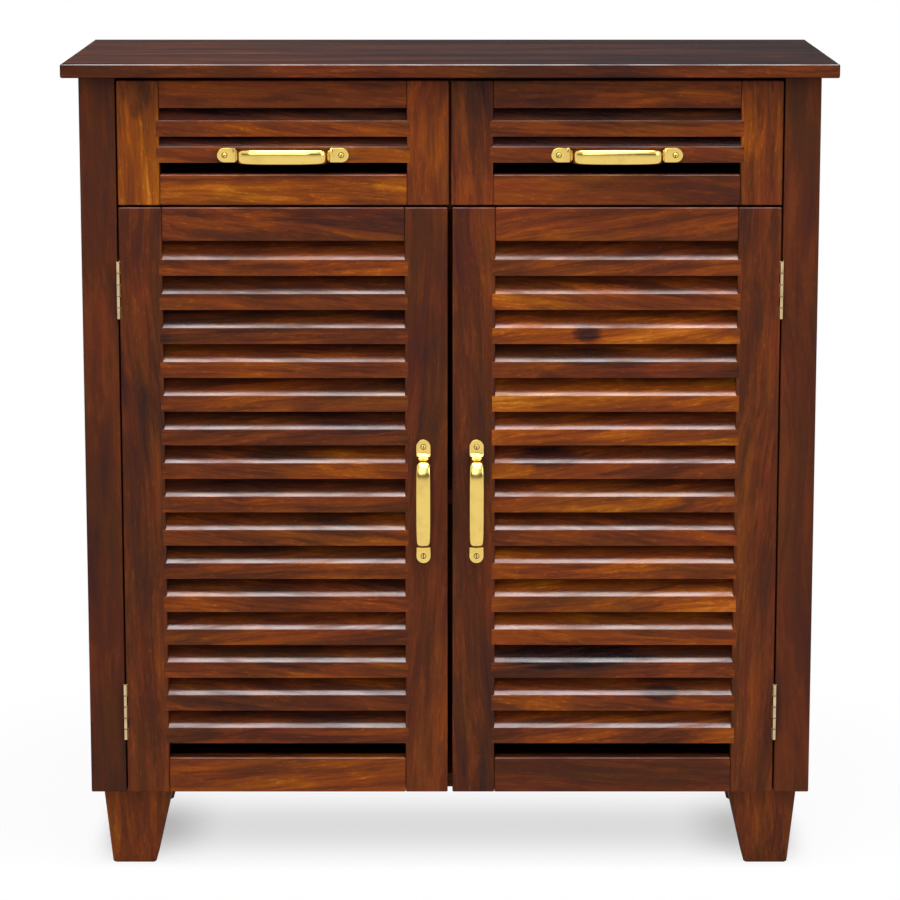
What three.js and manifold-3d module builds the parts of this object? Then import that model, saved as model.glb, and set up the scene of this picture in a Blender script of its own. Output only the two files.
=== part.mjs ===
import * as THREE from 'three';
import { mergeVertices } from 'three/addons/utils/BufferGeometryUtils.js';
import Module from 'manifold-3d';

// A free-standing hardwood cabinet on four tapered legs. Two drawers with louvred fronts
// sit side by side over two louvred doors. The louvre slats are separate boards housed in
// slanted grooves that run through the stiles and are open at their faces.
// Lengths are millimetres. X runs to the right, Y to the back and Z up.

const wasm = await Module();
wasm.setup();

// Whole cabinet
const topWidth = 880;
const topDepth = 400;
const cabinetHeight = 950;
const topThickness = 16;
const topSideOverhang = 18.5;
const topFrontOverhang = 20;
const topBackOverhang = 10;
const topEase = 1.6;
const legHeight = 95;

// Clearances
const seatGap = 0.3;
const cutOverrun = 5;
const weldDistance = 0.0001;

// Side frames: two posts, two rails, a thin panel and the strips that carry the boards
const postWidth = 41;
const postDepth = 32;
const boardEase = 0.8;
const sideRailThickness = 24;
const sideRailHeight = 60;
const sideTenon = 10;
const sidePanelThickness = 10;
const sidePanelSetIn = 8;
const sidePanelGroove = 6;
const cleatHeight = 20;
const guideHeight = 30;

// Boards between the sides
const bottomThickness = 16;
const deckThickness = 16;
const shelfThickness = 16;
const partitionThickness = 16;
const backThickness = 8;
const backSetIn = 16;
const frontStopGap = 2;
const shelfSetBack = 40;
const shelfClearHeight = 322;

// Fronts
const frontThickness = 21;
const postSideGap = 1.8;
const drawerMeetingGap = 2.8;
const doorMeetingGap = 5.5;
const drawerHeadGap = 4;
const drawerDoorGap = 2.5;
const deckCover = 8;

// Louvres
const slatAngle = THREE.MathUtils.degToRad(45);
const slatHousing = 3.5;
const slatEase = 0.5;
const slatHeadGap = 0.4;

// Drawers
const drawerFrontHeight = 142;
const drawerStileWidth = 47.7;
const drawerTopRailHeight = 31.5;
const drawerBottomRailHeight = 35;
const drawerSlatCount = 2;
const drawerSlatFace = 18;
const drawerSlatDepth = 14;
const drawerLastGap = 13.4;
const drawerBoxHeight = 110;
const drawerBackClearance = 21;
const drawerBoxWall = 12;
const drawerBoxSideGap = 1.5;
const drawerBottomThickness = 6;
const drawerBottomRaise = 8;
const drawerBottomGroove = 4;

// Doors
const doorStileWidth = 49.2;
const doorTopRailHeight = 38.8;
const doorBottomRailHeight = 41.6;
const doorSlatCount = 15;
const doorSlatFace = 18.6;
const doorLastGap = 17.4;
const railTenon = 20;

// Bow handles
const handleLength = 150;
const handleBowLength = 106;
const handleWidth = 16.6;
const handlePlateThickness = 2.4;
const handleProjection = 30;
const handleStrap = 3.8;
const handleBend = 15;
const handleCrown = 1.4;
const handleCrownShare = 1 / 4;
const handleCrownSteps = 2;
const handleBendSteps = 5;
const handlePlateSteps = 8;
const plateEase = 0.6;
const doorHandleLength = 146;
const doorHandleInset = 28;
const doorHandleRise = 3.5;

// Butt hinges
const hingeLength = 66;
const hingeBarrelRadius = 2.5;
const hingePinRadius = 1.2;
const hingeBoreRadius = 1.5;
const hingeKnuckleCount = 5;
const hingeKnuckleGap = 0.4;
const hingeLeafThickness = 1.2;
const hingeLeafGap = 0.6;
const hingeLeafReach = 20;
const hingeRodSides = 16;
const upperHingeDrop = 62;
const lowerHingeRise = 64.5;

// Legs, which lean outwards towards the floor, so that their outer faces taper least
const legTopSide = 81;
const legBottomSide = 50.6;
const legFootEase = 2;
const legLean = 6.2;
const legSideInset = 12.6;
const legFrontInset = 20;
const legBackInset = 14;

// Places worked out from the sizes
const carcassHalfWidth = topWidth / 2 - topSideOverhang;
const carcassDepth = topDepth - topFrontOverhang - topBackOverhang;
const openingHalfWidth = carcassHalfWidth - postWidth;
const topUnderside = cabinetHeight - topThickness;
const carcassTop = topUnderside - seatGap;
const drawerFrontTop = topUnderside - drawerHeadGap;
const drawerFrontBottom = drawerFrontTop - drawerFrontHeight;
const doorTop = drawerFrontBottom - drawerDoorGap;
const doorBottom = legHeight;
const doorHeight = doorTop - doorBottom;
const doorWidth = openingHalfWidth - postSideGap - doorMeetingGap / 2;
const drawerWidth = openingHalfWidth - postSideGap - drawerMeetingGap / 2;
const deckTop = drawerFrontBottom + deckCover;
const deckBottom = deckTop - deckThickness;
const bottomTop = legHeight + bottomThickness;
const shelfBottom = bottomTop + shelfClearHeight;
const boardFront = frontThickness + frontStopGap;
const backPanelBack = carcassDepth - backSetIn;
const backPanelFront = backPanelBack - backThickness;
const boardBack = backPanelFront - seatGap;
const rearPostFront = carcassDepth - postDepth;
const sideRailInner = carcassHalfWidth - sideRailThickness;
const hingeAxisX = openingHalfWidth - postSideGap / 2;
const hingeAxisY = -(hingeBarrelRadius + seatGap);
const hingeRecess = hingeLeafThickness + hingeLeafGap / 2 + seatGap - postSideGap / 2;
const handleReach = handleProjection + seatGap;
const centreY = (topDepth - topFrontOverhang - handleReach) / 2;
const hingeBottoms = {
  upper: doorTop - upperHingeDrop - hingeLength,
  lower: doorBottom + lowerHingeRise,
};

// Materials
const woodRoughness = 0.38;
const wood = (name, color) => new THREE.MeshStandardMaterial({
  name, color, roughness: woodRoughness, metalness: 0,
});
const materials = {
  top: wood('dark_sheesham', 0x3a231c),
  carcass: wood('brown_sheesham', 0x45291d),
  frame: wood('red_sheesham', 0x6e3a20),
  slat: wood('streaked_sheesham', 0x7d4524),
  inside: wood('plain_sheesham', 0x5a3822),
  handle: new THREE.MeshStandardMaterial({
    name: 'satin_brass', color: 0xb08a45, roughness: 0.28, metalness: 1,
  }),
  hinge: new THREE.MeshStandardMaterial({
    name: 'aged_brass', color: 0x8a6a38, roughness: 0.4, metalness: 1,
  }),
};

// Turns a closed geometry into a solid for cutting and joining.
function solidOf(geometry) {
  const bare = geometry.clone();
  bare.deleteAttribute('normal');
  bare.deleteAttribute('uv');
  const welded = mergeVertices(bare, weldDistance);
  return new wasm.Manifold(new wasm.Mesh({
    numProp: 3,
    vertProperties: new Float32Array(welded.attributes.position.array),
    triVerts: new Uint32Array(welded.index.array),
  }));
}

// Turns a solid back into a geometry with flat faces.
function geometryOf(solid) {
  const mesh = solid.getMesh();
  const indexed = new THREE.BufferGeometry();
  indexed.setAttribute('position', new THREE.BufferAttribute(mesh.vertProperties, 3));
  indexed.setIndex(new THREE.BufferAttribute(mesh.triVerts, 1));
  const flat = indexed.toNonIndexed();
  flat.computeVertexNormals();
  return flat;
}

const joined = (geometries) => geometries.map(solidOf).reduce((sum, solid) => sum.add(solid));
const cut = (solid, geometries) => geometries.reduce(
  (rest, geometry) => rest.subtract(solidOf(geometry)), solid);

// A plain block between two ends on each axis. The ends may be given in either order.
function block(xEnds, yEnds, zEnds) {
  const [low, high] = [new THREE.Vector3(), new THREE.Vector3()];
  [xEnds, yEnds, zEnds].forEach((ends, axis) => {
    low.setComponent(axis, Math.min(...ends));
    high.setComponent(axis, Math.max(...ends));
  });
  const size = high.clone().sub(low);
  const middle = high.clone().add(low).multiplyScalar(1 / 2);
  return new THREE.BoxGeometry(size.x, size.y, size.z).translate(...middle);
}

// The same block with all its edges eased by a small chamfer.
function board(xEnds, yEnds, zEnds, ease = boardEase) {
  const plain = block(xEnds, yEnds, zEnds);
  plain.computeBoundingBox();
  const size = plain.boundingBox.getSize(new THREE.Vector3());
  const middle = plain.boundingBox.getCenter(new THREE.Vector3());
  const halfX = size.x / 2 - ease;
  const halfY = size.y / 2 - ease;
  const outline = new THREE.Shape();
  outline.moveTo(-halfX, -halfY);
  outline.lineTo(halfX, -halfY);
  outline.lineTo(halfX, halfY);
  outline.lineTo(-halfX, halfY);
  const depth = size.z - 2 * ease;
  const eased = new THREE.ExtrudeGeometry(outline, {
    depth, bevelEnabled: true, bevelThickness: ease, bevelSize: ease, bevelSegments: 1,
  });
  return eased.translate(middle.x, middle.y, middle.z - depth / 2);
}

// Extrudes an outline drawn in Y and Z along X, centred on X.
function alongX(outline, length) {
  const solid = new THREE.ExtrudeGeometry(outline, { depth: length, bevelEnabled: false });
  const turn = new THREE.Matrix4().makeBasis(
    new THREE.Vector3(0, 1, 0), new THREE.Vector3(0, 0, 1), new THREE.Vector3(1, 0, 0));
  return solid.translate(0, 0, -length / 2).applyMatrix4(turn);
}

function mesh(name, geometry, material) {
  const made = new THREE.Mesh(geometry, material);
  made.name = name;
  return made;
}

// A board that spans the cabinet and is notched round the four posts.
function notchedBoard(front, back, zEnds) {
  const wide = sideRailInner - seatGap;
  const narrow = openingHalfWidth - seatGap;
  const notchFront = postDepth + seatGap;
  const notchBack = rearPostFront - seatGap;
  const middle = block([-wide, wide], [Math.max(front, notchFront), notchBack], zEnds);
  return joined([block([-narrow, narrow], [front, back], zEnds), middle]);
}

// One side of the carcass, with the strips that guide the drawers and carry deck and shelf.
function sideFrame(side) {
  const x = (...ends) => ends.map((end) => side * end);
  const postX = x(openingHalfWidth, carcassHalfWidth);
  const railX = x(sideRailInner, carcassHalfWidth);
  const panelOuter = carcassHalfWidth - sidePanelSetIn;
  const panelX = x(panelOuter - sidePanelThickness, panelOuter);
  const stripX = x(openingHalfWidth, panelOuter - sidePanelThickness / 2);
  const postZ = [legHeight, carcassTop];
  const railY = [postDepth - sideTenon, rearPostFront + sideTenon];
  const panelY = [postDepth - sidePanelGroove, rearPostFront + sidePanelGroove];
  const panelZ = [
    legHeight + sideRailHeight - sidePanelGroove,
    carcassTop - sideRailHeight + sidePanelGroove,
  ];
  const strip = (low, height) => block(stripX, railY, [low, low + height]);
  const pieces = [
    board(postX, [0, postDepth], postZ),
    board(postX, [rearPostFront, carcassDepth], postZ),
    board(railX, railY, [legHeight, legHeight + sideRailHeight]),
    board(railX, railY, [carcassTop - sideRailHeight, carcassTop]),
    block(panelX, panelY, panelZ),
    strip(deckBottom - seatGap - cleatHeight, cleatHeight),
    strip(shelfBottom - seatGap - cleatHeight, cleatHeight),
    strip(deckTop + seatGap, guideHeight),
  ];
  const recesses = Object.values(hingeBottoms).map((bottom) => block(
    x(openingHalfWidth - cutOverrun, openingHalfWidth + hingeRecess),
    [-cutOverrun, hingeAxisY + hingeLeafReach + seatGap],
    [bottom - seatGap, bottom + hingeLength + seatGap],
  ));
  return geometryOf(cut(joined(pieces), recesses));
}

// A tapered square leg with the middle of its foot at the origin. Going up it leans away
// from the side and the end that it stands at.
function leg(side, end) {
  const cornerShare = Math.SQRT1_2;
  const rise = legHeight - seatGap;
  const profile = [
    new THREE.Vector2(0, 0),
    new THREE.Vector2(cornerShare * (legBottomSide - 2 * legFootEase), 0),
    new THREE.Vector2(cornerShare * legBottomSide, legFootEase),
    new THREE.Vector2(cornerShare * legTopSide, rise),
    new THREE.Vector2(0, rise),
  ];
  const upright = new THREE.LatheGeometry(profile, 4).rotateX(Math.PI / 2).rotateZ(Math.PI / 4);
  const lean = new THREE.Matrix4().makeShear(
    0, 0, 0, 0, -side * legLean / rise, -end * legLean / rise);
  return upright.applyMatrix4(lean);
}

// The section of a louvre slat in Y and Z. Its front top arris is at the origin.
function slatSection(depth, face) {
  const rise = depth * Math.tan(slatAngle);
  const outline = new THREE.Shape();
  outline.moveTo(0, -face + slatEase);
  outline.lineTo(slatEase, -face + slatEase * Math.tan(slatAngle));
  outline.lineTo(depth, rise - face);
  outline.lineTo(depth, rise - slatEase);
  outline.lineTo(depth - slatEase, rise - slatEase * Math.tan(slatAngle));
  outline.lineTo(slatEase, slatEase * Math.tan(slatAngle));
  outline.lineTo(0, -slatEase);
  return outline;
}

// The slanted groove that one slat needs, open at the front and the back of the frame.
function grooveSection(face) {
  const low = -cutOverrun;
  const high = frontThickness + cutOverrun;
  const slope = Math.tan(slatAngle);
  const outline = new THREE.Shape();
  outline.moveTo(low, low * slope - face - seatGap);
  outline.lineTo(high, high * slope - face - seatGap);
  outline.lineTo(high, high * slope + seatGap);
  outline.lineTo(low, low * slope + seatGap);
  return outline;
}

// The heights of the slats' front top arrises, spread evenly over an opening.
function slatLevels(openingBottom, openingTop, depth, face, lastGap, count) {
  const first = openingTop - slatHeadGap - depth * Math.tan(slatAngle);
  const last = openingBottom + lastGap + face;
  const pitch = (first - last) / (count - 1);
  return Array.from({ length: count }, (_, index) => first - index * pitch);
}

// Two stiles with two rails tenoned between them, standing from zEnds[0] to zEnds[1].
function frameBoards(xEnds, zEnds, stile, topRail, bottomRail) {
  const [left, right] = [Math.min(...xEnds), Math.max(...xEnds)];
  const [bottom, top] = zEnds;
  const thick = [0, frontThickness];
  const railX = [left + stile - railTenon, right - stile + railTenon];
  return [
    board([left, left + stile], thick, zEnds),
    board([right - stile, right], thick, zEnds),
    board(railX, thick, [top - topRail, top]),
    board(railX, thick, [bottom, bottom + bottomRail]),
  ];
}

// A bow handle along X. Its seat is the plane Y = 0 and the bow stands out towards -Y.
function bowHandle(length) {
  const bowHalf = handleBowLength / 2;
  const plateHalf = handleWidth / 2 - plateEase;
  const plateEnd = length / 2 - plateEase;
  const outer = handleBend - handleCrown;
  const inner = handleBend - handleStrap + handleCrown;
  const bendX = bowHalf - handleBend;
  const bendY = handleProjection - handleBend;
  const bow = new THREE.Shape();
  bow.moveTo(-bendX - outer, 0);
  bow.lineTo(-bendX - outer, bendY);
  bow.absarc(-bendX, bendY, outer, Math.PI, Math.PI / 2, true);
  bow.absarc(bendX, bendY, outer, Math.PI / 2, 0, true);
  bow.lineTo(bendX + outer, 0);
  bow.lineTo(bendX + inner, 0);
  bow.absarc(bendX, bendY, inner, 0, Math.PI / 2, false);
  bow.absarc(-bendX, bendY, inner, Math.PI / 2, Math.PI, false);
  bow.lineTo(-bendX - inner, 0);
  const crownDepth = handleWidth * handleCrownShare;
  const bowDepth = handleWidth - 2 * crownDepth;
  const strap = new THREE.ExtrudeGeometry(bow, {
    depth: bowDepth, curveSegments: handleBendSteps, bevelEnabled: true,
    bevelThickness: crownDepth, bevelSize: handleCrown, bevelSegments: handleCrownSteps,
  }).translate(0, 0, -bowDepth / 2).rotateX(Math.PI);
  const plate = (end) => {
    const outline = new THREE.Shape();
    outline.moveTo(bowHalf - handleStrap, -plateHalf);
    outline.lineTo(plateEnd - plateHalf, -plateHalf);
    outline.absarc(plateEnd - plateHalf, 0, plateHalf, -Math.PI / 2, Math.PI / 2, false);
    outline.lineTo(bowHalf - handleStrap, plateHalf);
    const flat = new THREE.ExtrudeGeometry(outline, {
      depth: handlePlateThickness - plateEase, curveSegments: handlePlateSteps,
      bevelEnabled: true, bevelThickness: plateEase, bevelSize: plateEase, bevelSegments: 1,
    });
    const turned = end < 0 ? flat.rotateZ(Math.PI) : flat;
    return turned.rotateX(Math.PI / 2);
  };
  const behindSeat = block(
    [-length, length], [0, handleProjection], [-handleWidth, handleWidth]);
  return geometryOf(cut(joined([plate(-1), plate(1), strap]), [behindSeat]));
}

// One leaf of a butt hinge. The pin lies on the Z axis and the leaf reaches towards +Y,
// on the side of the axis that leafSide names.
function hingeLeaf(leafSide, carriesPin) {
  const knuckle = (hingeLength + hingeKnuckleGap) / hingeKnuckleCount - hingeKnuckleGap;
  const step = knuckle + hingeKnuckleGap;
  const inner = hingeLeafGap / 2;
  const outer = inner + hingeLeafThickness;
  const clear = hingeBarrelRadius + hingeKnuckleGap;
  const rod = (radius, low, high) => (
    new THREE.CylinderGeometry(radius, radius, high - low, hingeRodSides)
      .rotateX(Math.PI / 2).translate(0, 0, (low + high) / 2));
  const plate = block(
    [leafSide * inner, leafSide * outer], [0, hingeLeafReach], [0, hingeLength]);
  const knuckles = [];
  const notches = [];
  for (let index = 0; index < hingeKnuckleCount; index += 1) {
    const low = index * step;
    if ((index % 2 === 0) === carriesPin) {
      knuckles.push(rod(hingeBarrelRadius, low, low + knuckle));
    } else {
      const ends = [low - hingeKnuckleGap, low + knuckle + hingeKnuckleGap];
      notches.push(block([-clear, clear], [-clear, clear], ends));
    }
  }
  const leaf = cut(solidOf(plate), notches).add(joined(knuckles));
  if (carriesPin) {
    return geometryOf(leaf.add(solidOf(rod(hingePinRadius, 0, hingeLength))));
  }
  return geometryOf(cut(leaf, [rod(hingeBoreRadius, -cutOverrun, hingeLength + cutOverrun)]));
}

function makeCarcass() {
  const carcass = new THREE.Group();
  const top = board(
    [-topWidth / 2, topWidth / 2], [-topFrontOverhang, topDepth - topFrontOverhang],
    [topUnderside, cabinetHeight], topEase);
  carcass.add(mesh('top_panel', top, materials.top));
  carcass.add(mesh('left_side', sideFrame(-1), materials.carcass));
  carcass.add(mesh('right_side', sideFrame(1), materials.carcass));

  const bottom = notchedBoard(boardFront, boardBack, [legHeight, bottomTop]);
  carcass.add(mesh('bottom_panel', geometryOf(bottom), materials.inside));
  const deck = notchedBoard(boardFront, boardBack, [deckBottom, deckTop]);
  carcass.add(mesh('drawer_deck', geometryOf(deck), materials.inside));
  const shelf = notchedBoard(
    shelfSetBack, boardBack, [shelfBottom, shelfBottom + shelfThickness]);
  carcass.add(mesh('shelf', geometryOf(shelf), materials.inside));
  const partition = block(
    [-partitionThickness / 2, partitionThickness / 2], [boardFront, boardBack],
    [deckTop + seatGap, carcassTop]);
  carcass.add(mesh('drawer_partition', partition, materials.inside));
  const backHalf = openingHalfWidth - seatGap;
  const back = block(
    [-backHalf, backHalf], [backPanelFront, backPanelBack], [legHeight, carcassTop]);
  carcass.add(mesh('back_panel', back, materials.inside));

  const footX = carcassHalfWidth - legSideInset - legTopSide / 2 + legLean;
  const footRows = [
    ['front', -1, legFrontInset + legTopSide / 2 - legLean],
    ['rear', 1, carcassDepth - legBackInset - legTopSide / 2 + legLean],
  ];
  for (const [row, end, y] of footRows) {
    for (const [hand, side] of [['left', -1], ['right', 1]]) {
      const made = mesh(`${row}_${hand}_leg`, leg(side, end), materials.carcass);
      made.position.set(side * footX, y, 0);
      carcass.add(made);
    }
  }
  for (const [hand, side] of [['left', -1], ['right', 1]]) {
    for (const [level, z] of Object.entries(hingeBottoms)) {
      const name = `${hand}_${level}_hinge_frame_leaf`;
      const made = mesh(name, hingeLeaf(side, true), materials.hinge);
      made.position.set(side * hingeAxisX, hingeAxisY, z);
      carcass.add(made);
    }
  }
  return carcass;
}

// A door in a group whose origin is on its hinge axis at the door's foot.
function makeDoor(hand, side) {
  const door = new THREE.Group();
  door.position.set(side * hingeAxisX, hingeAxisY, doorBottom);
  const inward = -side;
  const near = inward * postSideGap / 2;
  const far = near + inward * doorWidth;
  const faceY = -hingeAxisY;
  const openingTop = doorHeight - doorTopRailHeight;
  const levels = slatLevels(
    doorBottomRailHeight, openingTop, frontThickness, doorSlatFace, doorLastGap, doorSlatCount);
  const middle = (near + far) / 2;
  const openingWidth = doorWidth - 2 * doorStileWidth;

  const boards = frameBoards(
    [near, far], [0, doorHeight], doorStileWidth, doorTopRailHeight, doorBottomRailHeight);
  const grooveLength = openingWidth + 2 * (slatHousing + seatGap);
  const grooves = levels.map((level) => (
    alongX(grooveSection(doorSlatFace), grooveLength).translate(middle, 0, level)));
  const recesses = Object.values(hingeBottoms).map((bottom) => block(
    [near - inward * cutOverrun, near + inward * hingeRecess],
    [-cutOverrun, hingeAxisY + hingeLeafReach + seatGap],
    [bottom - doorBottom - seatGap, bottom - doorBottom + hingeLength + seatGap],
  ));
  const frame = cut(joined(boards), [...grooves, ...recesses]);
  const frameMesh = mesh(`${hand}_door_frame`, geometryOf(frame), materials.frame);
  frameMesh.position.y = faceY;
  door.add(frameMesh);

  const slatLength = openingWidth + 2 * slatHousing;
  levels.forEach((level, index) => {
    const name = `${hand}_door_slat_${String(index + 1).padStart(2, '0')}`;
    const section = slatSection(frontThickness, doorSlatFace);
    const slat = mesh(name, alongX(section, slatLength), materials.slat);
    slat.position.set(middle, faceY, level);
    door.add(slat);
  });

  for (const [level, bottom] of Object.entries(hingeBottoms)) {
    const name = `${hand}_${level}_hinge_door_leaf`;
    const leaf = mesh(name, hingeLeaf(inward, false), materials.hinge);
    leaf.position.z = bottom - doorBottom;
    door.add(leaf);
  }

  const handle = mesh(`${hand}_door_handle`, bowHandle(doorHandleLength), materials.handle);
  const handleX = far - inward * doorHandleInset;
  handle.rotation.y = Math.PI / 2;
  handle.position.set(handleX, faceY - seatGap, doorHeight / 2 + doorHandleRise);
  door.add(handle);
  return door;
}

// A drawer in a group whose origin is below its front, on the cabinet's middle plane.
function makeDrawer(hand, side) {
  const drawer = new THREE.Group();
  drawer.position.z = drawerFrontBottom;
  const inner = side * drawerMeetingGap / 2;
  const outer = inner + side * drawerWidth;
  const middle = (inner + outer) / 2;
  const openingTop = drawerFrontHeight - drawerTopRailHeight;
  const levels = slatLevels(
    drawerBottomRailHeight, openingTop, drawerSlatDepth, drawerSlatFace, drawerLastGap,
    drawerSlatCount);
  const openingWidth = drawerWidth - 2 * drawerStileWidth;
  const boards = frameBoards(
    [inner, outer], [0, drawerFrontHeight], drawerStileWidth, drawerTopRailHeight,
    drawerBottomRailHeight);
  const slatLength = openingWidth + 2 * slatHousing;
  const slats = levels.map((level) => alongX(
    slatSection(drawerSlatDepth, drawerSlatFace), slatLength).translate(middle, 0, level));
  const front = joined([...boards, ...slats]);
  drawer.add(mesh(`${hand}_drawer_front`, geometryOf(front), materials.frame));

  const boxInner = side * (partitionThickness / 2 + drawerBoxSideGap);
  const boxOuter = side * (openingHalfWidth - drawerBoxSideGap);
  const boxFront = frontThickness + seatGap;
  const boxBack = backPanelFront - drawerBackClearance;
  const boxBottom = deckCover + seatGap;
  const boxZ = [boxBottom, boxBottom + drawerBoxHeight];
  const bottomLow = boxBottom + drawerBottomRaise;
  const bottomZ = [bottomLow, bottomLow + drawerBottomThickness];
  const wall = side * drawerBoxWall;
  const groove = side * (drawerBoxWall - drawerBottomGroove);
  const walls = [
    board([boxInner, boxInner + wall], [boxFront, boxBack], boxZ),
    board([boxOuter - wall, boxOuter], [boxFront, boxBack], boxZ),
    block([boxInner + groove, boxOuter - groove], [boxBack - drawerBoxWall, boxBack], boxZ),
    block([boxInner + groove, boxOuter - groove], [boxFront, boxBack], bottomZ),
  ];
  const box = geometryOf(joined(walls));
  drawer.add(mesh(`${hand}_drawer_box`, box, materials.inside));

  const handle = mesh(`${hand}_drawer_handle`, bowHandle(handleLength), materials.handle);
  handle.position.set(middle, -seatGap, levels.at(-1) - drawerSlatFace / 2);
  drawer.add(handle);
  return drawer;
}

const cabinet = new THREE.Group();
cabinet.position.y = -centreY;
cabinet.add(makeCarcass());
for (const [hand, side] of [['left', -1], ['right', 1]]) {
  cabinet.add(makeDoor(hand, side));
  cabinet.add(makeDrawer(hand, side));
}

export default cabinet;
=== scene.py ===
import math
import random

import bmesh
import bpy
from mathutils import Matrix, Vector


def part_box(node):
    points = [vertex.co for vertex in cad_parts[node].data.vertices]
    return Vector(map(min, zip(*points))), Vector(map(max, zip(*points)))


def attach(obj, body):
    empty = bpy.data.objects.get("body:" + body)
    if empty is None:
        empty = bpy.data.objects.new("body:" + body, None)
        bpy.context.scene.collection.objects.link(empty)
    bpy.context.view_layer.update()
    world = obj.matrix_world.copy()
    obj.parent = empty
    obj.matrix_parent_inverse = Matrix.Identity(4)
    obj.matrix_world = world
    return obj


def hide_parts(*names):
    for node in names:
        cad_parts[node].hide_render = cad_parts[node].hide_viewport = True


# A hardwood cabinet with two louvred drawers over two louvred doors, dressed in
# varnished, streaked hardwood and satin brass. Lengths are metres.

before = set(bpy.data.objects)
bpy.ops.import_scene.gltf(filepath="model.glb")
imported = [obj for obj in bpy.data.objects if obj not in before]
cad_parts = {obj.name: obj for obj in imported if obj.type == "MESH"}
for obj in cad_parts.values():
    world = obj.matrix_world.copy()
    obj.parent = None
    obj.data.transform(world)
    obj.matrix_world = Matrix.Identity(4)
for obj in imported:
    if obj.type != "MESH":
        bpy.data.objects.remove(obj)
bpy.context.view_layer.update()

HANDS = {"left": -1, "right": 1}
X, Y, Z = range(3)

# Sizes of the joinery, which follow the solids that each piece replaces
# Stiles, top rail and bottom rail
DOOR_FRAMING = (0.0492, 0.0388, 0.0416)
DRAWER_FRAMING = (0.0477, 0.0315, 0.035)
SLAT_HOUSING = 0.0035
SLAT_SLOPE = math.radians(45)
DOOR_SLATS = 15
DOOR_SLAT_FACE = 0.0186
DRAWER_SLAT_FACE = 0.018
DRAWER_SLAT_DEPTH = 0.014
DRAWER_LAST_GAP = 0.0134
SLAT_ROUND = 0.0016
SLAT_ROUND_STEPS = 6
SLAT_ROUND_PLAY = 0.00002
SLAT_TRIM = 0.0002
SLAT_CHAMFER = 0.0005
SLAT_HEAD_GAP = 0.0004
JOINT_GAP = 0.00015
GROOVE_CLEARANCE = 0.0003
GROOVE_PLAY = 0.00004
EASE = 0.0015
EASE_STEPS = 3
POST_DEPTH = 0.032
SIDE_RAIL_HEIGHT = 0.060
SIDE_RAIL_THICKNESS = 0.024
SIDE_PANEL_SET_IN = 0.008
SIDE_PANEL_THICKNESS = 0.010
STRIP_WIDTH = 0.022
CLEAT_HEIGHT = 0.020
GUIDE_HEIGHT = 0.030
TOP_EASE = 0.0022
LEG_TOP = 0.0810
LEG_FOOT = 0.0506
LEG_LEAN = 0.0062
LEG_EASE = 0.002
LEG_CORNER = 0.0012
BOX_WALL = 0.012
BOX_BOTTOM_THICKNESS = 0.006
BOX_BOTTOM_RAISE = 0.008
OVERRUN = 0.004

# The widest angles at which a round and a smooth surface are shaded as one piece
ROUND_ANGLE = math.radians(32)
SMOOTH_ANGLE = math.radians(35)

NOISE_ROUGHNESS = 0.55


class Shade:
    """A value in a material's node tree. Arithmetic on it adds Math nodes."""

    def __init__(self, tree, socket=None):
        self.tree = tree
        self.socket = socket

    def node(self, kind, settings=None, sockets=None, output=0):
        """Adds a shader node and gives back one of its outputs."""
        made = self.tree.nodes.new("ShaderNode" + kind)
        for name, value in (settings or {}).items():
            setattr(made, name, value)
        feed(made, sockets or {})
        return Shade(self.tree, made.outputs[output])

    def math(self, operation, *values):
        return self.node("Math", {"operation": operation}, dict(enumerate(values)))

    def __add__(self, other):
        return self.math("ADD", self, other)

    __radd__ = __add__

    def __sub__(self, other):
        return self.math("SUBTRACT", self, other)

    def __rsub__(self, other):
        return self.math("SUBTRACT", other, self)

    def __mul__(self, other):
        return self.math("MULTIPLY", self, other)

    __rmul__ = __mul__

    def absolute(self):
        return self.math("ABSOLUTE", self)

    def clamp(self):
        return self.node("Clamp", None, {"Value": self})

    def between(self, low, high):
        """0 where this is below low and 1 where it is above high, or the reverse."""
        return self.node("MapRange", {"interpolation_type": "SMOOTHSTEP"},
                         {"Value": self, "From Min": low, "From Max": high})

    def vector_math(self, operation, other):
        return self.node("VectorMath", {"operation": operation}, {0: self, 1: other})

    def parts(self):
        """The three numbers of a vector."""
        outputs = self.node("SeparateXYZ", None, {0: self}).socket.node.outputs
        return [Shade(self.tree, output) for output in outputs]

    def coordinates(self, kind):
        return self.node("TexCoord", output=kind)

    def stored(self, name, output="Vector"):
        """What write_grain stored in the mesh under a name."""
        return self.node("Attribute", {"attribute_name": name}, output=output)

    def ray(self, kind):
        """1 for one kind of ray, else 0."""
        return self.node("LightPath", output=f"Is {kind} Ray")

    def noise(self, along, across, detail):
        """Noise about zero, stretched along the fibres."""
        spread = self.node("TexNoise", {"noise_dimensions": "3D"}, {
            "Vector": self.vector_math("MULTIPLY", (along, across, across)), "Scale": 1.0,
            "Detail": detail, "Roughness": NOISE_ROUGHNESS})
        return spread - 0.5

    def layer(self, along, across, detail, strength):
        """A layer of the figure that has no edges."""
        return self.noise(along, across, detail) * strength

    def edged_layer(self, along, across, detail, edge, strength, level):
        """A layer of the figure that has edges, where the noise passes them."""
        return self.noise(along, across, detail).between(*edge) * strength - level

    def ramp(self, stops):
        """The colour at this place between the stops."""
        made = self.node("ValToRGB", None, {"Fac": self})
        elements = made.socket.node.color_ramp.elements
        while len(elements) < len(stops):
            elements.new(0.5)
        for element, (place, colour) in zip(elements, stops):
            element.position = place
            element.color = (*colour, 1)
        return made

    def blended(self, way, factor, colour):
        """This colour blended with another by a factor."""
        return self.node("Mix", {"data_type": "RGBA", "blend_type": way},
                         {"Factor": factor, 6: self, 7: (*colour, 1)}, 2)


def feed(node, values):
    """Gives a node's sockets their values, or the links that bring them."""
    for name, value in values.items():
        if isinstance(value, Shade):
            value.tree.links.new(value.socket, node.inputs[name])
        else:
            node.inputs[name].default_value = value


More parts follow.
